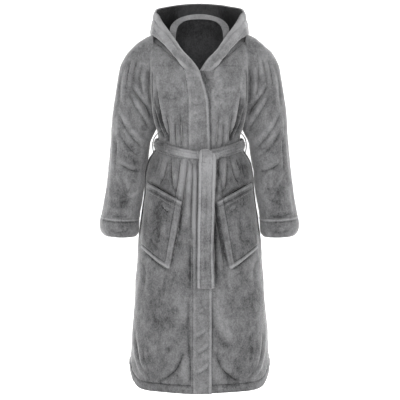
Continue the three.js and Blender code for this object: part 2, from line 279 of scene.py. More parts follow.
LOWER = [
    ([(189.4, 292), (188.2, 315), (188.8, 343), (190.2, 365), (191.6, 391)], 1.5, -8),
    ([(186, 288), (182, 312), (175, 330), (165, 342)], 3.6, 6),
    ([(187.4, 318), (181.5, 334), (172, 346), (163, 352)], 2.8, -5),
    ([(184.6, 352), (181.6, 360), (177.4, 368), (169.6, 375.5), (158, 382.6)], 1.5, -10),
    ([(188, 352), (185.6, 366), (182, 380)], 3.2, 7),
    ([(176, 362), (168, 370), (158, 377)], 3.2, 4),
    ([(134.6, 322), (135.6, 345), (140.2, 366), (150.6, 381.5)], 1.0, 5),
    ([(137.0, 328), (138.2, 347), (143.6, 367), (153.6, 381)], 1.0, -5),
    ([(141.0, 342), (142.6, 360), (148.4, 378)], 1.0, 4),
    ([(143.4, 340), (145.6, 358), (151.5, 374)], 1.0, -4),
    ([(146, 325), (150.5, 330), (153, 337)], 1.2, 3),
    ([(152, 326), (156.5, 331), (160, 334)], 1.0, 2.5),
    ([(149.5, 341), (148.8, 352), (151, 364)], 1.6, -4),
    ([(138, 262), (142, 275), (139, 292), (137, 310)], 1.5, 3),
    ([(142, 258), (146, 272), (144, 292)], 1.4, -3),
    ([(172, 280), (168, 291), (164, 299)], 1.8, 3.5),
    ([(178, 268), (173, 282), (169, 292)], 1.8, -3),
    ([(160, 268), (166, 272), (172, 273)], 1.5, 2.5),
    ([(182, 384), (170, 386), (158, 384)], 1.4, -3),
]
ARM = [
    ([(136.5, 93), (142, 101), (147.4, 109), (151, 118)], 1.9, -11),
    ([(131.0, 84), (135.6, 93), (141, 101), (148, 110)], 1.2, -7),
    ([(133.4, 82), (138.4, 92), (144, 100), (149.6, 107)], 1.3, 5),
    ([(128.0, 92), (134.6, 105), (142, 117), (150.6, 131)], 1.3, -5),
    ([(130.4, 92), (137.5, 105), (145, 116), (151.6, 126)], 1.4, 4),
    ([(141.4, 66), (140.4, 80), (142.0, 96)], 1.1, -5),
    ([(144.6, 66), (143.6, 82), (145.6, 98)], 1.2, 4.5),
    ([(149.6, 68), (148.8, 84), (150.0, 104)], 1.2, -6),
    ([(137.6, 60), (134.2, 72), (132.4, 84)], 1.1, -5),
    ([(140, 58), (137.4, 70), (136.4, 82)], 1.2, 4),
    ([(131.4, 60), (128.0, 74), (125.4, 90)], 1.0, -5),
    ([(133.8, 60), (131.0, 72), (128.6, 86)], 1.1, 4),
    ([(127.6, 64), (124.0, 82), (122.6, 104)], 1.0, 4),
    ([(121.6, 72), (119.6, 88), (118.4, 108)], 1.2, -3),
    ([(117.5, 112), (124, 126), (134, 140), (146, 150)], 1.5, -5),
    ([(119.5, 108), (127, 122), (137, 135), (148, 144)], 1.6, 4),
    ([(116.5, 126), (123, 140), (132, 151), (144, 159)], 1.3, -4),
    ([(124, 128), (130, 140), (138, 148)], 1.1, 3),
    ([(119.0, 163), (126, 168), (133, 170.8), (141, 171)], 1.3, -6),
    ([(119, 159.5), (127, 164.5), (136, 167)], 1.3, 4),
    ([(117.4, 172), (119.4, 180), (122.4, 187)], 1.0, 4),
    ([(126.4, 174), (127.6, 182), (128.6, 189)], 1.0, 3),
    ([(133, 178), (131.6, 186), (128, 194)], 1.4, -3),
    ([(134, 196), (127, 201), (119, 203)], 1.6, -3),
    ([(143, 186), (136, 193), (130, 197)], 1.2, 2.5),
    ([(113.6, 134), (113.0, 150), (112.0, 166), (110.6, 184)], 1.0, 4),
    ([(116.4, 138), (116.0, 154), (114.6, 172)], 1.0, -4),
    ([(110.4, 188), (109.6, 200), (107.6, 214)], 1.0, 3),
    ([(119, 110), (117.6, 124), (117.4, 138)], 1.2, 3),
    ([(108, 213), (118, 216.5), (130, 216)], 1.2, -3.5),
    ([(110, 208), (120, 211), (132, 208)], 1.4, 2.5),
    ([(112, 226), (120, 229), (130, 226)], 1.3, 2.5),
    ([(108, 229), (118, 232.5), (128, 231)], 1.1, -2.5),
]
LOWER = [(t[0], t[1] * 1.25, t[2] * 0.62, *t[3:]) for t in LOWER]
ARM = [(t[0], t[1] * 1.15, t[2] * 0.9, *t[3:]) for t in ARM]
# strokes whose fourth entry gives their own painted shade (negative) and painted highlight (positive)
BODICE += [
    ([(155.4, 95), (157.4, 108), (161, 121), (165.6, 133)], 1.0, -4, -0.8),
    ([(163.6, 112), (165.6, 124), (168.8, 137)], 0.9, 2, 0.55),
    ([(158.2, 74), (158.4, 84), (159.2, 92)], 0.9, 1.5, 0.35),
    ([(175, 100), (182, 104), (186, 99)], 1.1, 1.5, 0.3),
    ([(171.6, 83), (178, 90), (183, 98)], 1.2, -1.5, -0.25),
    ([(178.5, 66), (184, 72), (187.5, 80)], 1.2, 1.5, 0.35),
]
FRONT_R = BODICE + SKIRT + SKIRT_R + LOWER
FRONT_L = mirrored(BODICE + SKIRT + LOWER) + SKIRT_L
BAND = SKIRT_R + [
    ([(199.8, 310), (203, 309), (207.4, 306)], 1.0, 4),
    ([(198.6, 314), (202.4, 311), (205, 307)], 0.9, -3),
    ([(194.6, 334), (200, 332), (206.6, 328)], 0.9, 4),
    ([(196.6, 338), (201, 335), (206, 331)], 1.0, -3),
    ([(197.4, 350), (203, 347), (209, 341)], 0.9, 5),
    ([(197, 354), (203, 351), (209, 346)], 0.9, -4),
    ([(195.4, 371), (202, 368), (209.4, 361)], 0.9, 5),
    ([(196.2, 375), (203, 371), (209.4, 366)], 0.9, -4),
    ([(196, 357), (197.4, 364), (200.4, 369)], 0.9, 3),
    ([(189.8, 108), (194, 112), (199, 111)], 1.1, 2.5),
    ([(193, 96), (198, 99), (202.6, 97)], 1.3, 2.5),
    ([(190, 101), (196, 104.5), (203.5, 102)], 1.1, -2.5),
    ([(197.4, 113), (200.4, 117), (203.6, 116)], 1.0, 2.5),
]

# ------------------------------------------------------------------ materials


def fleece(name, dark, light, sheen, slot_scale=1.0):
    m = bpy.data.materials.new(name)
    m.use_nodes = True
    nt = m.node_tree
    nd, ln = nt.nodes, nt.links
    nd.clear()
    out = nd.new("ShaderNodeOutputMaterial")
    b = nd.new("ShaderNodeBsdfPrincipled")
    ln.new(b.outputs[0], out.inputs[0])
    b.inputs["Roughness"].default_value = 0.92
    b.inputs["Specular IOR Level"].default_value = 0.18
    b.inputs["Sheen Weight"].default_value = sheen * 1.6
    b.inputs["Sheen Roughness"].default_value = 0.42
    tc = nd.new("ShaderNodeTexCoord")

    def noise(scale, detail, rough=0.55, stretch=None):
        n = nd.new("ShaderNodeTexNoise")
        n.inputs["Scale"].default_value = scale
        n.inputs["Detail"].default_value = detail
        n.inputs["Roughness"].default_value = rough
        if stretch:
            mp = nd.new("ShaderNodeMapping")
            mp.inputs["Scale"].default_value = stretch
            ln.new(tc.outputs["Object"], mp.inputs[0])
            ln.new(mp.outputs[0], n.inputs["Vector"])
        else:
            ln.new(tc.outputs["Object"], n.inputs["Vector"])
        return n.outputs["Fac"]

    def math_(op, a, c):
        n = nd.new("ShaderNodeMath")
        n.operation = op
        for i, v in enumerate((a, c)):
            if isinstance(v, (int, float)):
                n.inputs[i].default_value = v
            else:
                ln.new(v, n.inputs[i])
        return n.outputs[0]

    big = noise(22, 3)
    mid = noise(75, 4, 0.6, (1, 1, 0.55))
    fine = noise(420, 3, 0.7)
    # the attribute read here carries painted shade and painted highlight from folds, rims and patches, together with
    # the fabric's random nap variation
    at = nd.new("ShaderNodeAttribute")
    at.attribute_name = "tone_with_painted_shade"
    f = math_("MULTIPLY", math_("SUBTRACT", big, 0.5), 0.5)
    f = math_("ADD", f, math_("MULTIPLY", math_("SUBTRACT", mid, 0.5), 0.55))
    f = math_("ADD", f, math_("MULTIPLY", math_("SUBTRACT", fine, 0.5), 0.8))
    f = math_("ADD", f, math_("MULTIPLY", math_("SUBTRACT", noise(210, 2, 0.6, (1, 1, 0.75)), 0.5), 0.75))
    f = math_("ADD", f, math_("MULTIPLY", at.outputs["Fac"], 0.62))
    f = math_("ADD", f, 0.5)
    r = nd.new("ShaderNodeValToRGB")
    r.color_ramp.elements[0].position = 0.0
    r.color_ramp.elements[0].color = (*dark, 1)
    r.color_ramp.elements[1].position = 1.0
    r.color_ramp.elements[1].color = (*light, 1)
    ln.new(f, r.inputs[0])
    ln.new(r.outputs[0], b.inputs["Base Color"])
    bump = nd.new("ShaderNodeBump")
    bump.inputs["Strength"].default_value = 0.55
    bump.inputs["Distance"].default_value = 0.0016
    h = math_("ADD", math_("MULTIPLY", fine, 0.55), math_("MULTIPLY", mid, 0.9))
    h = math_("ADD", h, math_("MULTIPLY", noise(1100, 2), 0.35))
    ln.new(h, bump.inputs["Height"])
    ln.new(bump.outputs[0], b.inputs["Normal"])
    return m


M_BODY = fleece("robe_fleece", (0.022, 0.022, 0.023), (0.20, 0.20, 0.204), 0.30)
M_BELT = fleece("belt_fleece", (0.03, 0.03, 0.031), (0.225, 0.225, 0.23), 0.30)
# inner faces take a darker copy of the fleece: painted shade inside the robe
M_IN_SHADED = fleece("inner_fleece_painted_shade", (0.006, 0.006, 0.0065), (0.068, 0.068, 0.071), 0.1)
M_TAPE = fleece("woven_tape", (0.09, 0.09, 0.092), (0.24, 0.24, 0.245), 0.1)
M_CORD = fleece("loop_thread", (0.05, 0.05, 0.052), (0.14, 0.14, 0.145), 0.1)

# ------------------------------------------------------------------ cloth builder
report = []


def normals_of(P, wrap):
    if wrap:
        du = np.roll(P, -1, 1) - np.roll(P, 1, 1)
    else:
        du = np.gradient(P, axis=1)
    dv = np.gradient(P, axis=0)
    n = np.cross(du, dv)
    L = np.linalg.norm(n, axis=-1, keepdims=True)
    return n / np.maximum(L, 1e-9)


def cloth(name, P, t, body, nodes, flip=False, wrap=False, tone_with_painted_shade=None, mat=None, inner=None, blend=None, lift=0.0, rim=0.5, seam_rims_shaded=False, inner_painted_shade=None):
    """P is a (rows, columns, 3) grid in mm. Makes a closed sheet from P to P + t along its normal, with rounded rims."""
    nv, nu = P.shape[:2]
    n = normals_of(P, wrap) * (-1 if flip else 1)
    P = P + n * lift
    tt = t if np.ndim(t) else np.full((nv, nu), float(t))
    # roll the borders: the outside face turns down over the last row
    O = P + n * tt[..., None]
    verts = [O.reshape(-1, 3), P.reshape(-1, 3)]
    idx = np.arange(nv * nu).reshape(nv, nu)
    off = nv * nu
    faces, mats = [], []

    def quads(a, b, c, d, m):
        q = np.stack([a.ravel(), b.ravel(), c.ravel(), d.ravel()], 1)
        if flip:
            q = q[:, ::-1]
        faces.append(q)
        mats.append(np.broadcast_to(m, (len(q),)).copy())

    I = np.concatenate([idx, idx[:, :1]], 1) if wrap else idx
    quads(I[:-1, :-1], I[:-1, 1:], I[1:, 1:], I[1:, :-1], 0)
    J = I + off
    quads(J[:-1, :-1], J[1:, :-1], J[1:, 1:], J[:-1, 1:], 1)
    if wrap:
        loops = [(idx[0], idx[1], True), (idx[-1][::-1], idx[-2][::-1], True)]
    else:
        b = np.concatenate([idx[0, :-1], idx[:-1, -1], idx[-1, :0:-1], idx[:0:-1, 0]])
        inn = None
        loops = [(b, None, False)]
    flatP, flatO, flatN, flatT = P.reshape(-1, 3), O.reshape(-1, 3), n.reshape(-1, 3), tt.ravel()
    base = 2 * nv * nu
    for lp, nxt, w in loops:
        if w:
            e = flatP[lp] - flatP[nxt]
        else:
            tang = np.roll(flatP[lp], -1, 0) - np.roll(flatP[lp], 1, 0)
            e = np.cross(tang, flatN[lp]) * (-1 if flip else 1)
        e = e / np.maximum(np.linalg.norm(e, axis=1, keepdims=True), 1e-9)
        mid = flatP[lp] + flatN[lp] * (flatT[lp] * 0.5)[:, None] + e * (flatT[lp] * rim)[:, None]
        hi = flatP[lp] + flatN[lp] * (flatT[lp] * 0.88)[:, None] + e * (flatT[lp] * rim * 0.72)[:, None]
        lo = flatP[lp] + flatN[lp] * (flatT[lp] * 0.12)[:, None] + e * (flatT[lp] * rim * 0.72)[:, None]
        verts += [hi, mid, lo]
        k = len(lp)
        a0, a1, a2, a3, a4 = lp, base + np.arange(k), base + k + np.arange(k), base + 2 * k + np.arange(k), lp + off
        base += 3 * k
        # with this flag, rims along the first row take the shaded inner material: painted shade at the seam
        rm = np.where(lp < nu, 1, 0) if seam_rims_shaded else 0
        for p, q in ((a0, a1), (a1, a2), (a2, a3), (a3, a4)):
            quads(np.roll(p, -1), p, q, np.roll(q, -1), rm)
    V = np.vstack(verts)
    Fc = np.vstack(faces)
    mi = np.concatenate(mats)
    # with this flag, rims at the centre seam also take the shaded inner material: painted shade
    if seam_rims_shaded:
        late = np.arange(len(Fc)) >= 2 * (nv - 1) * (nu - 1)
        mi[late & (np.abs(V[Fc][..., 0]).max(1) < 6) & (V[Fc][..., 1].min(1) > 60)] = 1
    me = bpy.data.meshes.new(name)
    co = V.copy()
    co[:, 2] -= SEAT
    me.vertices.add(len(co))
    me.vertices.foreach_set("co", (co / 1000).ravel())
    me.loops.add(Fc.size)
    me.loops.foreach_set("vertex_index", Fc.ravel())
    me.polygons.add(len(Fc))
    me.polygons.foreach_set("loop_start", np.arange(len(Fc)) * 4)
    me.polygons.foreach_set("material_index", mi.astype(np.int32))
    me.polygons.foreach_set("use_smooth", np.ones(len(Fc), bool))
    me.update(calc_edges=True)
    me.validate()
    # per-point lightness: painted shade and painted highlight plus the nap's random variation
    a = me.attributes.new("tone_with_painted_shade", "FLOAT", "POINT")
    T = np.zeros(len(V))
    if tone_with_painted_shade is not None:
        T[: nv * nu] = tone_with_painted_shade.ravel()
        # inner faces get a quarter of the outer value plus their own painted shade
        T[nv * nu: 2 * nv * nu] = tone_with_painted_shade.ravel() * 0.25 + (0 if inner_painted_shade is None else inner_painted_shade.ravel())
    a.data.foreach_set("value", T)
    me.materials.append(mat or M_BODY)
    me.materials.append(inner or mat or M_BODY)
    ob = bpy.data.objects.new(name, me)
    bpy.context.scene.collection.objects.link(ob)
    # measured size: middle of the sheet
    Mid = P + n * (tt / 2)[..., None]
    Mc = np.concatenate([Mid, Mid[:, :1]], 1) if wrap else Mid
    w_len = np.linalg.norm(np.diff(Mc, axis=1), axis=-1).sum(1).max() / 1000
    l_len = np.linalg.norm(np.diff(Mc, axis=0), axis=-1).sum(0).max() / 1000
    d1, d2 = Mc[:-1, 1:] - Mc[:-1, :-1], Mc[1:, :-1] - Mc[:-1, :-1]
    area = np.linalg.norm(np.cross(d1, d2), axis=-1).sum() / 1e6
    area = min(area, 0.999 * w_len * l_len)
    report.append([name, round(w_len * 1000), round(l_len * 1000), round(area, 4)])
    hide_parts(*nodes)
    if blend:
        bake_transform(ob)
    else:
        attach(ob, body)
    return ob


def grid(nu, nv):
    return np.meshgrid(np.linspace(0, 1, nu), np.linspace(0, 1, nv))


def flipx(P):
    Q = P[:, ::-1].copy()
    Q[..., 0] *= -1
    return Q


def n_of(length):
    return max(6, int(round(length / STEP)))


def worked(P, strokes, flip=False, wrap=False, wrinkle=1.0, seed=0.0, extra=0.0, crush=0.3, shade=True):
    """Pushes a base grid along its normals by the folds and a little wrinkling."""
    n = normals_of(P, wrap) * (-1 if flip else 1)
    D, T = strokes_field(P, strokes)
    D = D * 1.12
    c = crinkle(P * np.array([1.0, 1.0, 0.7]), 27.0, seed) * crush
    patch = sm(-0.1, 0.5, fbm(P, 120, 2, seed + 2.5)) + 0.9 * sm(0.86, 0.98, np.abs(P[..., 0]) / np.where(np.abs(P[..., 0]) > 250, 330.0, A(P[..., 2])))
    c = c * (0.15 + 0.85 * patch)
    # lay on the broad patches of painted shade and painted highlight
    if shade:
        qx, qy = project(P)
        qx = 199.5 - np.abs(qx - 199.5)
        for bx, by, rx, ry, am in PAINTED_SHADE_PATCHES:
            T = T + am * np.exp(-((qx - bx) / rx) ** 2 - ((qy - by) / ry) ** 2)
    D = D + 1.7 * c
    # crests of the crushed pile painted lighter: painted highlight
    T = T + 0.75 * (c - 0.3 * crush)
    S = P * np.array([1.0, 1.0, 0.45])
    W = fbm(S, 46, 3, seed) * 2.6 * wrinkle + fbm(P, 17, 2, seed + 9) * 0.8 * wrinkle
    T = T + fbm(S, 38, 3, seed) * 0.35 + fbm(P, 15, 2, seed + 4) * 0.2
    return P + n * (D + W + extra)[..., None], T


# ------------------------------------------------------------------ fronts
RAISE = 6.0


def rise(x):
    return RAISE * sm(150, 70, np.abs(x))


def cut(F):
    return 24 * (np.abs(np.sin(F * np.pi / 2)) ** (2 / N)) ** 1.5


def front_panel(z0, z1, hem, nv, right=True):
    """Wearer's right front, from the side seam to the band seam."""
    nu = n_of(300)
    U, Vv = grid(nu, nv)
    zt = z0 + (z1 - z0) * Vv
    f1 = f_of(-XN(zt) + 1.5, zt)
    F = -1 + (f1 + 1) * U
    if hem:
        zlo = hem_z(F)
        Z = zlo + (z1 + cut(F) - zlo) * Vv
        f1 = f_of(-XN(Z) + 1.5, Z)
        F = -1 + (f1 + 1) * U
    else:
        Z = zt
    X = ring_x(F, Z)
    return np.stack([X, body_y(X, Z, -1), Z], -1), F


def upper_front():
    nu, nv = n_of(170), n_of(400)
    U, Vv = grid(nu, nv)
    ztop = 1227 + 2 * U
    zl = 822 + cut(-1 + U)
    Z = zl + (ztop - zl) * Vv
    f1 = f_of(-XN(Z) + 1.5, Z)
    F = -1 + (f1 + 1) * U
    X = ring_x(F, Z)
    Y = body_y(X, Z, -1)
    Y = Y + (4 - Y) * sm(0.93, 1, Vv)
    return np.stack([X, Y, Z], -1)


swing_r = ("torso", "skirt_right", (0, 0, 400), (0, -150, 400))
swing_l = ("torso", "skirt_left", (0, 0, 400), (0, -150, 400))

P = upper_front()
Q, T = worked(P, FRONT_R, extra=rise(P[..., 0]) * sm(1150, 1090, P[..., 2]))
cloth("robe_front_right_upper", Q, 4.0, "torso", ["front_right_upper"], tone_with_painted_shade=T, inner=M_IN_SHADED)
P2 = flipx(P)
Q, T = worked(P2, FRONT_L, seed=3.1)
cloth("robe_front_left_upper", Q, 4.0, "torso", ["front_left_upper"], tone_with_painted_shade=T, inner=M_IN_SHADED)

P, F = front_panel(10, 829, True, n_of(820))
hemline = P[..., 2] - hem_z(F)


def hem_bump(h, z):
    # a turned hem: a little thicker, with the stitch line above it
    return 1.6 * sm(27, 22, h) - 2.2 * np.exp(-((h - 27) / 4) ** 2)


wave = 5.0 * np.sin(P[..., 0] / 38.0 + 1.0) * sm(420, 40, P[..., 2]) * sm(235, 190, np.abs(P[..., 0]))
Q, T = worked(P, FRONT_R, extra=rise(P[..., 0]) + hem_bump(hemline, 0) + wave)
# darker along the hem's stitch groove: painted shade
cloth("robe_front_right_skirt", Q, 4.0, "skirt_right", ["front_right_skirt"], tone_with_painted_shade=T - 0.5 * np.exp(-((hemline - 27) / 4) ** 2), inner=M_IN_SHADED, blend=swing_r)
P2 = flipx(P)
h2 = hemline[:, ::-1]
Q, T = worked(P2, FRONT_L, seed=3.1, extra=hem_bump(h2, 0) + wave[:, ::-1])
# darker along the hem's stitch groove: painted shade
cloth("robe_front_left_skirt", Q, 4.0, "skirt_left", ["front_left_skirt"], tone_with_painted_shade=T - 0.5 * np.exp(-((h2 - 27) / 4) ** 2), inner=M_IN_SHADED, blend=swing_l)

# ------------------------------------------------------------------ front bands


def band(z0, z1, nv):
    nu = n_of(70)
    U, Vv = grid(nu, nv)
    Z = z0 + (z1 - z0) * Vv
    X = -XN(Z) + (XE(Z) + XN(Z)) * U
    return np.stack([X, body_y(X, Z, -1), Z], -1), U


for nm, z0, z1, ln, body in (("upper", 822, 1112, 290, "torso"), ("lower", 9, 829, 830, "skirt")):
    P, U = band(z0, z1, n_of(ln))
    edge = -2.2 * np.exp(-((U - 0.07) / 0.03) ** 2) + 1.5 * np.exp(-((U - 0.14) / 0.04) ** 2) + 1.0 * np.exp(-((U - 0.95) / 0.05) ** 2) - 1.0 * np.exp(-((U - 0.86) / 0.03) ** 2)
    Q, T = worked(P, BAND + (FRONT_R if nm == "upper" else []), seed=1.7, extra=RAISE + edge)
    # painted highlight along the band's free edge and its seam ridge, painted shadow beside the seam, and the whole
    # band a little lighter
    T = T + 0.35 * np.exp(-((U - 0.14) / 0.05) ** 2) + 0.85 * np.exp(-((U - 0.965) / 0.03) ** 2) - 0.5 * np.exp(-((U - 0.05) / 0.04) ** 2) + 0.12
    cloth("robe_band_right_" + nm, Q, 4.8, "torso" if body == "torso" else "skirt_right", ["front_band_right_" + nm], tone_with_painted_shade=T, inner=M_IN_SHADED, blend=None if body == "torso" else swing_r)
    P2 = flipx(P)
    Q, T = worked(P2, [], seed=4.4, wrinkle=0.5)
    # the underlapping band painted darker: painted shade under the overlapping front
    T = T - 0.2
    cloth("robe_band_left_" + nm, Q, 4.2, "torso" if body == "torso" else "skirt_left", ["front_band_left_" + nm], tone_with_painted_shade=T, inner=M_IN_SHADED, blend=None if body == "torso" else swing_l)

# ------------------------------------------------------------------ back


def neck_y(x):
    q = np.clip(np.abs(x) / 100, 0, 1)
    return 10 + 68 * np.sqrt(1 - q * q)


def neck_z(x):
    ax = np.abs(x)
    return np.where(ax >= 100, 1228 + 0 * ax, 1226 + 62 * (1 - np.clip(ax / 100, 0, 1) ** 2.5))


def back_panel():
    nu, nv = n_of(446), n_of(914)
    U, Vv = grid(nu, nv)
    F = -1 + 2 * U
    s = np.sin(F * np.pi / 2)
    xa = 163 * np.sign(s) * np.abs(s) ** (2 / N)
    zt = neck_z(xa)
    zb = hem_z(F)
    Z = zb + (zt - zb) * Vv
    X = A(Z) / 163 * xa
    X = X + (xa - X) * sm(1160, 1215, Z)
    Y = body_y(X, Z, 1)
    w = (Z - 1100) / (zt - 1100)
    ytop = neck_y(xa) * (np.abs(xa) < 100) + 4 * (np.abs(xa) >= 100)
    ytop = np.where(np.abs(xa) < 100, np.maximum(neck_y(xa), 4), 4)
    Y = Y + (ytop - Y) * sm(0.62, 1, w)
    return np.stack([X, Y, Z], -1), F


P, F = back_panel()
z, x = P[..., 2], P[..., 0]
pl = np.cos(F * 46 + 0.8 * np.sin(F * 9)) * 4.5 * (np.exp(-((z - 832) / 95) ** 2))
pl += np.cos(F * 21 + 0.5) * 5.0 * np.exp(-((z - 700) / 150) ** 2)
pl += np.cos(F * 13.5 + 0.4 + 0.0016 * z) * 9.0 * sm(620, 60, z) * sm(1.0, 0.85, np.abs(F))
pl += np.cos(F * 7 + 2.0) * 4.0 * sm(880, 960, z) * sm(1180, 1080, z)
h = z - hem_z(F)
Q, T = worked(P, [], flip=True, wrinkle=1.2, seed=6.2, shade=False, extra=pl * sm(1.0, 0.94, np.abs(F)) + hem_bump(h, 0))
# back panel: painted highlight on pleat crests, painted shade in their valleys and along the hem's stitch groove; its
# inner face painted darker toward the neck, painted shade under the hood
cloth("robe_back_panel", Q, 4.0, "torso", ["back_panel"], flip=True, tone_with_painted_shade=T + 0.035 * pl - 0.5 * np.exp(-((h - 27) / 4) ** 2), inner=M_IN_SHADED, inner_painted_shade=0.1 - 0.55 * sm(1190, 1262, z))

# ------------------------------------------------------------------ sleeves
SL = np.array([
    [-160, 1229, -148, 904, 62, 2], [-192, 1213, -152, 897, 64, 2], [-224, 1189, -160, 882, 66, 0], [-254, 1161, -171, 860, 68, -3], [-273, 1126, -175, 836, 68, -6],
    [-283, 1080, -178, 810, 68, -9], [-291, 1028, -182, 788, 67, -12], [-300, 962, -189, 757, 66, -14], [-307, 870, -190, 725, 65, -17], [-316, 785, -194, 690, 64, -20],
    [-324, 710, -200, 655, 63, -22], [-333, 650, -206, 624, 63, -25], [-342, 604, -209, 597, 63, -26]], float)
CU = np.array([[-342, 605, -209, 598, 63, -26], [-346, 585, -210.5, 578, 62, -27], [-346, 566, -211, 560, 61, -28], [-342, 552, -213, 546, 58, -29], [-333, 540, -220, 536, 53, -30]], float)


def spline_rows(R, n):
    t = np.linspace(0, len(R) - 1, n)
    Rp = np.vstack([2 * R[0] - R[1], R, 2 * R[-1] - R[-2]])
    i = np.clip(np.floor(t).astype(int), 0, len(R) - 2)
    f = (t - i)[:, None]
    a, b, c, d = Rp[i], Rp[i + 1], Rp[i + 2], Rp[i + 3]
    return 0.5 * (2 * b + (c - a) * f + (2 * a - 5 * b + 4 * c - d) * f ** 2 + (3 * b - a - 3 * c + d) * f ** 3)


def tube(R, nu, nv):
    r = spline_rows(R, nv)
    a = np.linspace(0, 2 * np.pi, nu, endpoint=False)
    c, s = np.cos(a)[None], np.sin(a)[None]
    sq = lambda q: np.sign(q) * np.abs(q) ** 0.94
    c, s = sq(c), sq(s)
    X = (r[:, 0:1] + r[:, 2:3]) / 2 + (r[:, 0:1] - r[:, 2:3]) / 2 * c
    Z = (r[:, 1:2] + r[:, 3:4]) / 2 + (r[:, 1:2] - r[:, 3:4]) / 2 * c
    Y = r[:, 5:6] + r[:, 4:5] * s
    return np.stack([X, Y, Z], -1)


for side, nm in ((-1, "right"), (1, "left")):
    bl = ("torso", "sleeve_" + nm, (side * 148, 0, 904), (side * 255, 0, 866))
    st = ARM if side < 0 else mirrored(ARM)
    P = tube(SL, n_of(420), n_of(600))
    if side > 0:
        P[..., 0] *= -1
    fl = side > 0
    v = np.linspace(0, 1, P.shape[0])[:, None] + 0 * P[..., 0]
    top = sm(1080, 1160, P[..., 2]) * sm(0.3, 0.1, v)
    seam = -2.5 * np.exp(-((v - 0.0) / 0.012) ** 2) * (1 - top) - 2.0 * np.exp(-((v - 1) / 0.012) ** 2)
    Q, T = worked(P, st, flip=fl, wrap=True, wrinkle=1.2, seed=2.0 * side + 5, extra=seam - 4.0 + 3.6 * top)
    cloth("robe_sleeve_" + nm, Q, 4.0, "sleeve_" + nm, ["sleeve_" + nm], flip=fl, wrap=True, tone_with_painted_shade=T, inner=M_IN_SHADED, blend=bl)
    P = tube(CU, n_of(420), n_of(64) + 4)
    if side > 0:
        P[..., 0] *= -1
    Q, T = worked(P, st, flip=fl, wrap=True, wrinkle=0.8, seed=2.0 * side + 8, extra=-3.6)
    v = np.linspace(0, 1, P.shape[0])[:, None] + 0 * P[..., 0]
    # painted highlight along the cuff's rolled edge, painted shade in a line above it
    T = T + 0.8 * np.exp(-((v - 0.04) / 0.03) ** 2) - 0.5 * np.exp(-((v - 0.13) / 0.03) ** 2)
    cloth("robe_cuff_" + nm, Q, 4.4, "sleeve_" + nm, ["cuff_" + nm], flip=fl, wrap=True, tone_with_painted_shade=T, inner=M_IN_SHADED, blend=bl)

# ------------------------------------------------------------------ hood
HD = np.array([
    [[-40, -122, 1076], [-33, -125, 1078], [-12, -127, 1080], [7, -125, 1080]],
    [[-42, -126, 1108], [-37, -130, 1110], [-20, -133, 1112], [-4, -130, 1108]],
    [[-60, -109, 1142], [-72, -115, 1149], [-58, -121, 1158], [-29, -113, 1144]],
    [[-79, -80, 1170], [-107, -84, 1177], [-100, -96, 1194], [-62, -90, 1178]],
    [[-91, -48, 1201], [-135, -50, 1197], [-138, -60, 1222], [-84, -62, 1209]],
    [[-95, -14, 1222], [-162, -6, 1218], [-178, -20, 1240], [-113, -24, 1250]],
    [[-95, 12, 1229], [-168, 22, 1200], [-186, 15, 1250], [-127, -5, 1270]],
    [[-93, 34, 1239], [-166, 62, 1172], [-188, 62, 1238], [-139, 15, 1296]],
    [[-86, 58, 1255], [-150, 112, 1140], [-186, 112, 1220], [-149, 36, 1306]],
    [[-70, 74, 1268], [-130, 148, 1092], [-174, 174, 1186], [-139, 75, 1316]],
    [[-46, 88, 1282], [-92, 170, 1048], [-128, 236, 1154], [-96, 132, 1324]],
    [[-22, 96, 1292], [-42, 176, 1018], [-62, 260, 1136], [-44, 176, 1331]],
    [[0, 98, 1296], [0, 176, 1012], [0, 266, 1132], [0, 190, 1333]]], float)


def hood_half():
    nu, nv = n_of(520), n_of(330)
    c = spline_rows(HD.reshape(len(HD), 12), nu).reshape(nu, 4, 3)
    v = np.linspace(0, 1, nv)[:, None]
    B = [(1 - v) ** 3, 3 * v * (1 - v) ** 2, 3 * v * v * (1 - v), v ** 3]
    P = sum(B[k][:, :, None] * c[None, :, k, :] for k in range(4))
    return P


# the first stroke paints a highlight along the ridge of the hood's seam, the second paints shade beside it
HOOD_ST = [
    ([(153.8, 36.4), (162.4, 45.2), (171.6, 54.0), (181.0, 61.6), (189, 69)], 0.8, 2.0, 1.0),
    ([(156.6, 36.0), (165, 44.6), (174, 52.6), (183, 60)], 1.0, -2.0, -0.35),
    ([(163, 27), (168, 36), (174, 46), (181, 56), (190, 66)], 1.2, -1.6),
    ([(160.6, 30), (166, 40), (173, 50), (180, 58)], 1.6, 2.0),
    ([(154.6, 28), (157, 33), (163, 40)], 1.2, -3),
]
hb = ("torso", "hood", (0, 100, 1296), (0, 275, 1296))
P = hood_half()
nvv, nuu = P.shape[:2]
vv = np.linspace(0, 1, nvv)[:, None] + 0 * P[..., 0]
uu = np.linspace(0, 1, nuu)[None, :] + 0 * P[..., 0]
roll = 2.0 * np.exp(-((vv - 0.965) / 0.03) ** 2) - 1.8 * np.exp(-((vv - 0.90) / 0.02) ** 2)
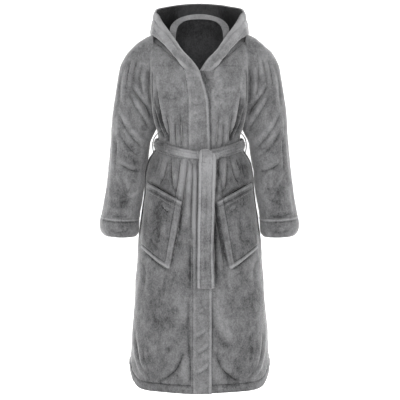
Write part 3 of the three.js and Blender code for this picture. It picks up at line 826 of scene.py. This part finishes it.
# painted highlight on the rolled rim, painted shade in the groove behind it, and the whole hood a little lighter
rim_painted_light = 0.22 + 0.35 * np.exp(-((vv - 0.97) / 0.03) ** 2) - 0.35 * np.exp(-((vv - 0.90) / 0.02) ** 2)
for side, nm in ((-1, "right"), (1, "left")):
    st = HOOD_ST if side < 0 else mirrored(HOOD_ST)
    G = P.copy()
    k0 = 0 if side < 0 else int(0.075 * nuu)
    if side > 0:
        G[..., 0] *= -1
        G[..., 1] += 17.0 * sm(0.22, 0.06, uu)
    else:
        G[..., 1] += 5.0 * sm(0.10, 0.0, uu)
    Q, T = worked(G, st, flip=side < 0, wrinkle=0.9, seed=8 + side, extra=roll)
    Q[:, -1, 0] = side * 0.4
    Q, T = Q[:, k0:], T[:, k0:]
    thick = 5.5 - 2.5 * sm(0.08, 0.0, vv)
    # hood inside painted darker toward the sides: painted shade inside the hood
    cloth("robe_hood_" + nm, Q, thick[:, k0:], "hood", ["hood_" + nm + "_half"], flip=side < 0, tone_with_painted_shade=T + rim_painted_light[:, k0:], inner=M_IN_SHADED, blend=hb, seam_rims_shaded=True, inner_painted_shade=0.15 - 1.0 * sm(45, 105, np.abs(Q[..., 0])))

# ------------------------------------------------------------------ neck tape
outer = [(173.6, 42, 2), (170.2, 31.5, 24), (171.8, 25.0, 44), (178.4, 19.2, 64), (188.8, 15.7, 76), (199.5, 14.6, 79)]
inner_ = [(175.6, 44, -4), (175.5, 36, 12), (176.6, 29.5, 34), (179.6, 24.0, 52), (187, 20.3, 67), (199.5, 19.2, 73)]


def ribbon(c):
    c = np.asarray(c, float)
    c = np.vstack([c, np.stack([399 - c[-2::-1, 0], c[-2::-1, 1], c[-2::-1, 2]], 1)])
    s = curve(c, 140)
    return unproject(s[:, 0], s[:, 1], s[:, 2])


a, b = ribbon(outer), ribbon(inner_)
t = np.linspace(0, 1, 9)[:, None, None]
P = b[None] + (a - b)[None] * t
Q, T = worked(P, [], flip=False, wrinkle=0.25, seed=12)
# tape painted darker toward its sides: painted shade
cloth("robe_neck_tape", Q, 2.2, "torso", ["neck_tape"], tone_with_painted_shade=T * 0.5 + 0.1 - 0.55 * sm(45, 88, np.abs(Q[..., 0])), mat=M_TAPE)

# ------------------------------------------------------------------ pockets


def on_body(px, py, off, lifted):
    y = np.full(np.shape(px), -100.0)
    for _ in range(14):
        W = unproject(px, py, y)
        ax = np.clip(W[..., 0], -0.992 * A(W[..., 2]), 0.992 * A(W[..., 2]))
        y = 0.5 * y + 0.5 * (body_y(ax, W[..., 2], -1) - off - lifted * rise(W[..., 0]))
    W = unproject(px, py, y)
    return W


def pocket(side):
    nu, nv = n_of(130), n_of(250)
    U, Vv = grid(nu, nv)
    a, b, c, d = np.array([148.6, 183.8]), np.array([180.9, 202.0]), np.array([168.9, 268.0]), np.array([142.2, 247.5])
    top = a + (b - a) * U[..., None]
    bot = d + (c - d) * U[..., None]
    bot[..., 1] += 1.2 * np.sin(np.pi * U)
    S = bot + (top - bot) * Vv[..., None]
    S[..., 0] -= 1.2 * np.sin(np.pi * Vv) * (1 - U)
    edge = np.minimum(np.minimum(U / 0.05, (1 - U) / 0.05), Vv / 0.03)
    edge = np.clip(edge, 0, 1)
    off = 4.5 + 3.5 * edge ** 0.5 + 9 * np.sin(np.pi * np.clip(U, 0, 1)) * sm(0.25, 1, Vv)
    P = on_body(S[..., 0], S[..., 1], off, 1.0 if side < 0 else 0.0)
    # border line inside the inner side and the bottom, a groove with painted shade along it; painted highlight along
    # the edges and the top lip, and the whole pocket a little darker
    g = np.exp(-((U - 0.855) / 0.012) ** 2) * sm(0.03, 0.1, Vv) + np.exp(-((Vv - 0.05) / 0.010) ** 2) * sm(0.86, 0.8, U)
    g += 0.6 * np.exp(-((Vv - 0.93) / 0.012) ** 2)
    tone_with_painted_shade = -0.7 * g + 0.3 * np.exp(-((U - 0.93) / 0.05) ** 2) + 0.5 * np.exp(-((U - 0.985) / 0.02) ** 2) + 0.5 * np.exp(-((U - 0.885) / 0.012) ** 2) + 1.0 * np.exp(-((Vv - 0.012) / 0.014) ** 2) + 0.45 * np.exp(-((U - 0.0) / 0.025) ** 2) + 0.8 * np.exp(-((Vv - 0.985) / 0.014) ** 2) - 0.26
    return P, g, tone_with_painted_shade, Vv


PST = [
    ([(164, 204), (167, 207), (170, 209.6)], 0.9, 4),
    ([(162.6, 206), (166, 210), (169.4, 211.6)], 0.9, -3.5),
    ([(153, 196), (151.6, 212), (150, 230)], 2.2, 2.5),
    ([(158, 202), (160, 222), (158, 244)], 2.6, -2),
    ([(166, 216), (164.6, 232), (162, 250)], 2.4, 2),
    ([(150, 236), (154, 244), (160, 250)], 1.6, -2),
]
P0, g, tone_with_painted_shade, V0 = pocket(-1)
for side, nm in ((-1, "right"), (1, "left")):
    P, g, tone_with_painted_shade, V0 = pocket(side)
    if side > 0:
        P, g, tone_with_painted_shade = flipx(P), g[:, ::-1], tone_with_painted_shade[:, ::-1]
    Q, T = worked(P, PST if side < 0 else mirrored(PST), wrinkle=0.8, seed=15 + side, extra=-2.6 * g)
    k = int(round(0.90 * (P.shape[0] - 1)))
    T = T + tone_with_painted_shade
    bl = swing_r if side < 0 else swing_l
    cloth("robe_pocket_" + nm, Q[: k + 1], 4.0, "skirt_" + nm, ["pocket_" + nm], tone_with_painted_shade=T[: k + 1], blend=bl)
    cloth("robe_pocket_hem_" + nm, Q[k:], 5.0, "skirt_" + nm, ["pocket_hem_" + nm], tone_with_painted_shade=T[k:], blend=bl)

# ------------------------------------------------------------------ belt
nu = n_of(820)
a = np.linspace(0, 2 * np.pi, nu, endpoint=False)
nvb = 22
v = np.linspace(0, 1, nvb)[:, None]
ca, sa = np.cos(a)[None] + 0 * v, np.sin(a)[None] + 0 * v
xw = np.sign(ca) * np.abs(ca) ** (2 / N)
zc = 825 + 27 * np.abs(xw) ** 1.5
Zb = zc + (v - 0.5) * (23 + 7 * np.abs(xw))
aw = A(Zb) * 0.5 + 0.5 * 140
Xb = aw * xw
yb = np.where(sa < 0, -1, 1) * (np.where(sa < 0, 102.0, 95.0)) * np.clip(1 - np.abs(xw) ** N, 0, 1) ** (1 / N)
Pb = np.stack([Xb, yb, Zb], -1)
pleat = 2.6 * np.cos(v * 2 * np.pi * 3.2 + 0.7 * np.sin(a * 3)[None]) * (0.35 + 0.65 * np.exp(-((Xb + 28) / 45) ** 2)) * sm(0, 0.12, v) * sm(1, 0.88, v)
bow = 4.0 * np.sin(np.pi * v)
Q, T = worked(Pb, [], wrap=True, wrinkle=0.7, seed=21, extra=10.5 + pleat + bow)
# pleat crests painted lighter and their troughs darker, and the belt painted darker where it turns away around the
# sides: painted shade
cloth("robe_belt_wrap", Q, 5.0, "torso", ["belt_wrap"], wrap=True, tone_with_painted_shade=T + 0.26 * pleat - 0.3 * sm(40, 110, np.abs(Xb)), mat=M_BELT)


def strip(path, left, right, nu, nv):
    """A ribbon along path points (y, z) with left and right edges given for each one; rows run from the last point up to the first."""
    s = curve(np.array([[p[0], p[1], l, r] for p, l, r in zip(path, left, right)])[:, :2], nv)
    m = np.linspace(0, 1, len(s))
    k = np.linspace(0, 1, len(path))
    L, R = np.interp(m, k, left), np.interp(m, k, right)
    u = np.linspace(0, 1, nu)[None]
    X = L[:, None] + (R - L)[:, None] * u
    P = np.stack([X, s[:, 0:1] + 0 * X, s[:, 1:2] + 0 * X], -1)
    return P[::-1], u


KP = [(-112, 826), (-121, 839), (-133, 843), (-142, 837), (-146, 825), (-146.5, 812), (-145.5, 797)]
P, u = strip(KP, [9, 8, 6, 4, 3, 2, 1.5], [42, 43, 46, 49, 51, 52, 51.6], 22, 48)
P[..., 2] -= (17 * (u ** 2.6) + 6 * (1 - u) ** 5 - 3) * sm(806, 832, P[..., 2])
P[..., 1] += 3.0 * (2 * u - 1) ** 2
ed = 1.2 * np.exp(-((u - 0.06) / 0.04) ** 2) + 1.2 * np.exp(-((u - 0.94) / 0.04) ** 2) - 1.0 * np.exp(-((u - 0.15) / 0.03) ** 2) - 1.0 * np.exp(-((u - 0.85) / 0.03) ** 2)
ed = ed + 0 * P[..., 0]
Q, T = worked(P, [], wrinkle=0.5, seed=23, extra=ed)
# painted highlight on the knot and its raised edges, painted shade in the grooves beside them
cloth("robe_belt_knot", Q, 5.0, "torso", ["belt_knot"], tone_with_painted_shade=T + 0.7 * ed + 0.28, mat=M_BELT)

# the belt's own turn behind the arch
c = curve(np.array([(-14, -110.0), (-8, -124), (0, -134), (14, -139.5), (28, -141), (42, -139.5), (54, -133), (61, -122), (66, -110)]), 60)
v = np.linspace(0, 1, 14)[:, None]
zz = 827 + (v - 0.5) * (25 - 6 * np.linspace(-1, 1, len(c))[None] ** 2) - 3.5 * np.linspace(-1, 1, len(c))[None]
P = np.stack([c[None, :, 0] + 0 * v, c[None, :, 1] + 0 * v, zz], -1)
pl_ = 1.6 * np.cos(v * 2 * np.pi * 2.6) + 0 * zz
Q, T = worked(P, [], wrinkle=0.5, seed=24, extra=pl_ - 4.5)
# pleats painted lighter and darker, and the whole turn a little darker behind the arch: painted shade
cloth("robe_belt_knot_turn", Q, 4.0, "torso", ["belt_knot"], tone_with_painted_shade=T + 0.2 * pl_ - 0.1, mat=M_BELT)

TP = [(-145.4, 803), (-146, 770), (-150, 700), (-157, 600), (-164, 500), (-170, 430), (-174, 378)]
P, u = strip(TP, [1.5, 1.2, 0, -2.0, -3.4, -4.0, -3.6], [51.6, 51, 49, 46.0, 43.6, 45, 46.5], 22, n_of(430))
P[..., 1] += 2.5 * (2 * u - 1) ** 2
ed = 1.2 * np.exp(-((u - 0.06) / 0.04) ** 2) + 1.2 * np.exp(-((u - 0.94) / 0.04) ** 2) - 1.0 * np.exp(-((u - 0.15) / 0.03) ** 2) - 1.0 * np.exp(-((u - 0.85) / 0.03) ** 2)
ed = ed + 0 * P[..., 0]
rip = 2.0 * np.sin(P[..., 2] / 31.0 + u * 1.5)
Q, T = worked(P, [([(206, 165), (207, 200), (204, 240), (206, 280)], 1.2, -2.0), ([(209.5, 170), (209, 210), (208, 260)], 1.3, 1.6)], wrinkle=0.9, seed=25, extra=ed + rip)
# painted highlight on the raised edges and toward the knot, painted shade in the grooves
cloth("robe_belt_tail_outer", Q, 5.0, "tail_outer", ["belt_tail_outer"], tone_with_painted_shade=T + 0.75 * ed + 0.06 + 0.35 * sm(740, 800, P[..., 2]), mat=M_BELT, blend=("skirt_right", "tail_outer", (0, -140, 806), (0, -140, 760)))
TP2 = [(-135, 777), (-138, 757), (-142, 700), (-149, 600), (-156, 500), (-162, 440), (-165, 398)]
P, u = strip(TP2, [5, 5, 4, 3, 3, 3, 3], [47, 46, 44, 42, 41, 41, 42], 18, n_of(400))
Q, T = worked(P, [], wrinkle=0.5, seed=27)
# painted darker behind the outer tail: painted shade
cloth("robe_belt_tail_inner", Q, 4.0, "tail_inner", ["belt_tail_inner"], tone_with_painted_shade=T - 0.2, mat=M_BELT, blend=("skirt_right", "tail_inner", (0, -140, 780), (0, -140, 740)))


# ------------------------------------------------------------------ cords and the hanging loop
def cord_piece(name, pts, r, body, node, mat):
    c = curve(np.asarray(pts, float), 60)
    t = np.gradient(c, axis=0)
    t /= np.linalg.norm(t, axis=1, keepdims=True)
    up = np.array([0.0, 1.0, 0.0])
    nn = np.cross(up, t)
    nn /= np.linalg.norm(nn, axis=1, keepdims=True)
    bb = np.cross(t, nn)
    m = 12
    ang = np.arange(m) / m * 2 * np.pi
    tw = np.linspace(0, 14, len(c))[:, None]
    rr = r * (1 + 0.12 * np.cos(3 * ang[None] + tw * 6))
    V = c[:, None] + rr[..., None] * (np.cos(ang)[None, :, None] * nn[:, None] + np.sin(ang)[None, :, None] * bb[:, None])
    V = V.reshape(-1, 3)
    F = []
    for i in range(len(c) - 1):
        for k in range(m):
            F.append((i * m + k, i * m + (k + 1) % m, (i + 1) * m + (k + 1) % m, (i + 1) * m + k))
    F.append(tuple(range(m - 1, -1, -1)))
    F.append(tuple((len(c) - 1) * m + k for k in range(m)))
    V[:, 2] -= SEAT
    me = bpy.data.meshes.new(name)
    me.from_pydata((V / 1000).tolist(), [], F)
    for p in me.polygons:
        p.use_smooth = True
    me.update()
    me.attributes.new("tone_with_painted_shade", "FLOAT", "POINT")
    me.materials.append(mat)
    ob = bpy.data.objects.new(name, me)
    bpy.context.scene.collection.objects.link(ob)
    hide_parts(node)
    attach(ob, body)
    return ob


for s, nm in ((-1, "right"), (1, "left")):
    cord_piece("robe_belt_loop_" + nm, [(s * q[0], q[1], q[2]) for q in [(139, 8, 893), (150, 8, 884), (159, 6, 870), (163, 6, 852), (162, 6, 832), (158, 6, 815), (160, 8, 803)]], 1.7, "torso", "belt_loop_" + nm, M_CORD)

t = np.linspace(0, np.pi, 46)[None, :]
v = np.linspace(0, 1, 6)[:, None]
P = np.stack([34 * np.cos(t) + 0 * v, 111 + 5 * np.sin(t) + 0 * v, 1222 - 30 * np.sin(t) + 11 * (v - 0.5)], -1)
Q, T = worked(P, [], flip=True, wrinkle=0.2, seed=31)
cloth("robe_hanger_loop", Q, 1.8, "torso", ["hanger_loop"], flip=True, tone_with_painted_shade=T, mat=M_TAPE)

# ------------------------------------------------------------------ stage
prof = [(0.0, -1.42), (2.0, -1.42), (5.0, -1.42), (9.0, -1.42), (13.5, -1.42), (15.5, -1.3), (17.0, -0.9), (18.2, 0.0), (18.8, 1.4), (19.0, 3.2), (19.0, 5.5), (19.0, 8.0), (19.0, 10.5)]
th = np.linspace(0, 2 * np.pi, 73)
Rr, Tt = np.meshgrid([q[0] for q in prof], th, indexing="ij")
Zb = np.repeat(np.array([q[1] for q in prof])[:, None], len(th), 1)
Xb, Yb = np.maximum(Rr, 0.01) * np.cos(Tt), np.maximum(Rr, 0.01) * np.sin(Tt)
me = bpy.data.meshes.new("sweep")
nv_, nu_ = Xb.shape
V = np.stack([Xb, Yb, Zb], -1).reshape(-1, 3)
idx = np.arange(nv_ * nu_).reshape(nv_, nu_)
Fq = np.stack([idx[:-1, :-1].ravel(), idx[:-1, 1:].ravel(), idx[1:, 1:].ravel(), idx[1:, :-1].ravel()], 1)
me.from_pydata(V.tolist() + [[0, 0, -1.42]], [], Fq.tolist() + [[len(V), int(idx[0, k + 1]), int(idx[0, k])] for k in range(nu_ - 1)])
for p in me.polygons:
    p.use_smooth = True
sweep = bpy.data.objects.new("sweep", me)
bpy.context.scene.collection.objects.link(sweep)
m = bpy.data.materials.new("sweep_paint")
m.use_nodes = True
pb = m.node_tree.nodes["Principled BSDF"]
pb.inputs["Roughness"].default_value = 0.9
pb.inputs["Specular IOR Level"].default_value = 0.1
nz = m.node_tree.nodes.new("ShaderNodeTexNoise")
nz.inputs["Scale"].default_value = 3.0
rp = m.node_tree.nodes.new("ShaderNodeValToRGB")
rp.color_ramp.elements[0].color = (0.93, 0.93, 0.93, 1)
rp.color_ramp.elements[1].color = (0.97, 0.97, 0.97, 1)
m.node_tree.links.new(nz.outputs["Fac"], rp.inputs[0])
m.node_tree.links.new(rp.outputs[0], pb.inputs["Base Color"])
pb.inputs["Emission Color"].default_value = (1, 1, 1, 1)
pb.inputs["Emission Strength"].default_value = 0.55
me.materials.append(m)

# ------------------------------------------------------------------ light
w = bpy.data.worlds.new("world")
bpy.context.scene.world = w
w.use_nodes = True
w.node_tree.nodes["Background"].inputs[0].default_value = (1, 1, 1, 1)
w.node_tree.nodes["Background"].inputs[1].default_value = 0.3


def area(name, loc, target, size, power):
    d = bpy.data.lights.new(name, "AREA")
    d.shape = "RECTANGLE"
    d.size, d.size_y = size
    d.energy = power
    o = bpy.data.objects.new(name, d)
    bpy.context.scene.collection.objects.link(o)
    from mathutils import Vector
    o.location = loc
    o.rotation_euler = (Vector(target) - Vector(loc)).to_track_quat("-Z", "Y").to_euler()
    return o


area("key", (-1.3, -3.3, 2.5), (0, 0, -0.45), (1.0, 1.0), 78)
area("fill", (1.6, -3.3, 1.5), (0, 0, -0.5), (1.0, 1.0), 40)
area("side_r", (-2.5, 0.7, 0.5), (0, 0, -0.4), (0.8, 2.2), 42)
area("side_l", (2.5, 0.7, 0.5), (0, 0, -0.4), (0.8, 2.2), 42)
area("top_back", (0, 1.5, 2.7), (0, 0, 0.0), (2.4, 0.6), 75)
bpy.context.scene.view_settings.view_transform = "Standard"

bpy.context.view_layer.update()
for r in report:
    print("SHEET", *r)
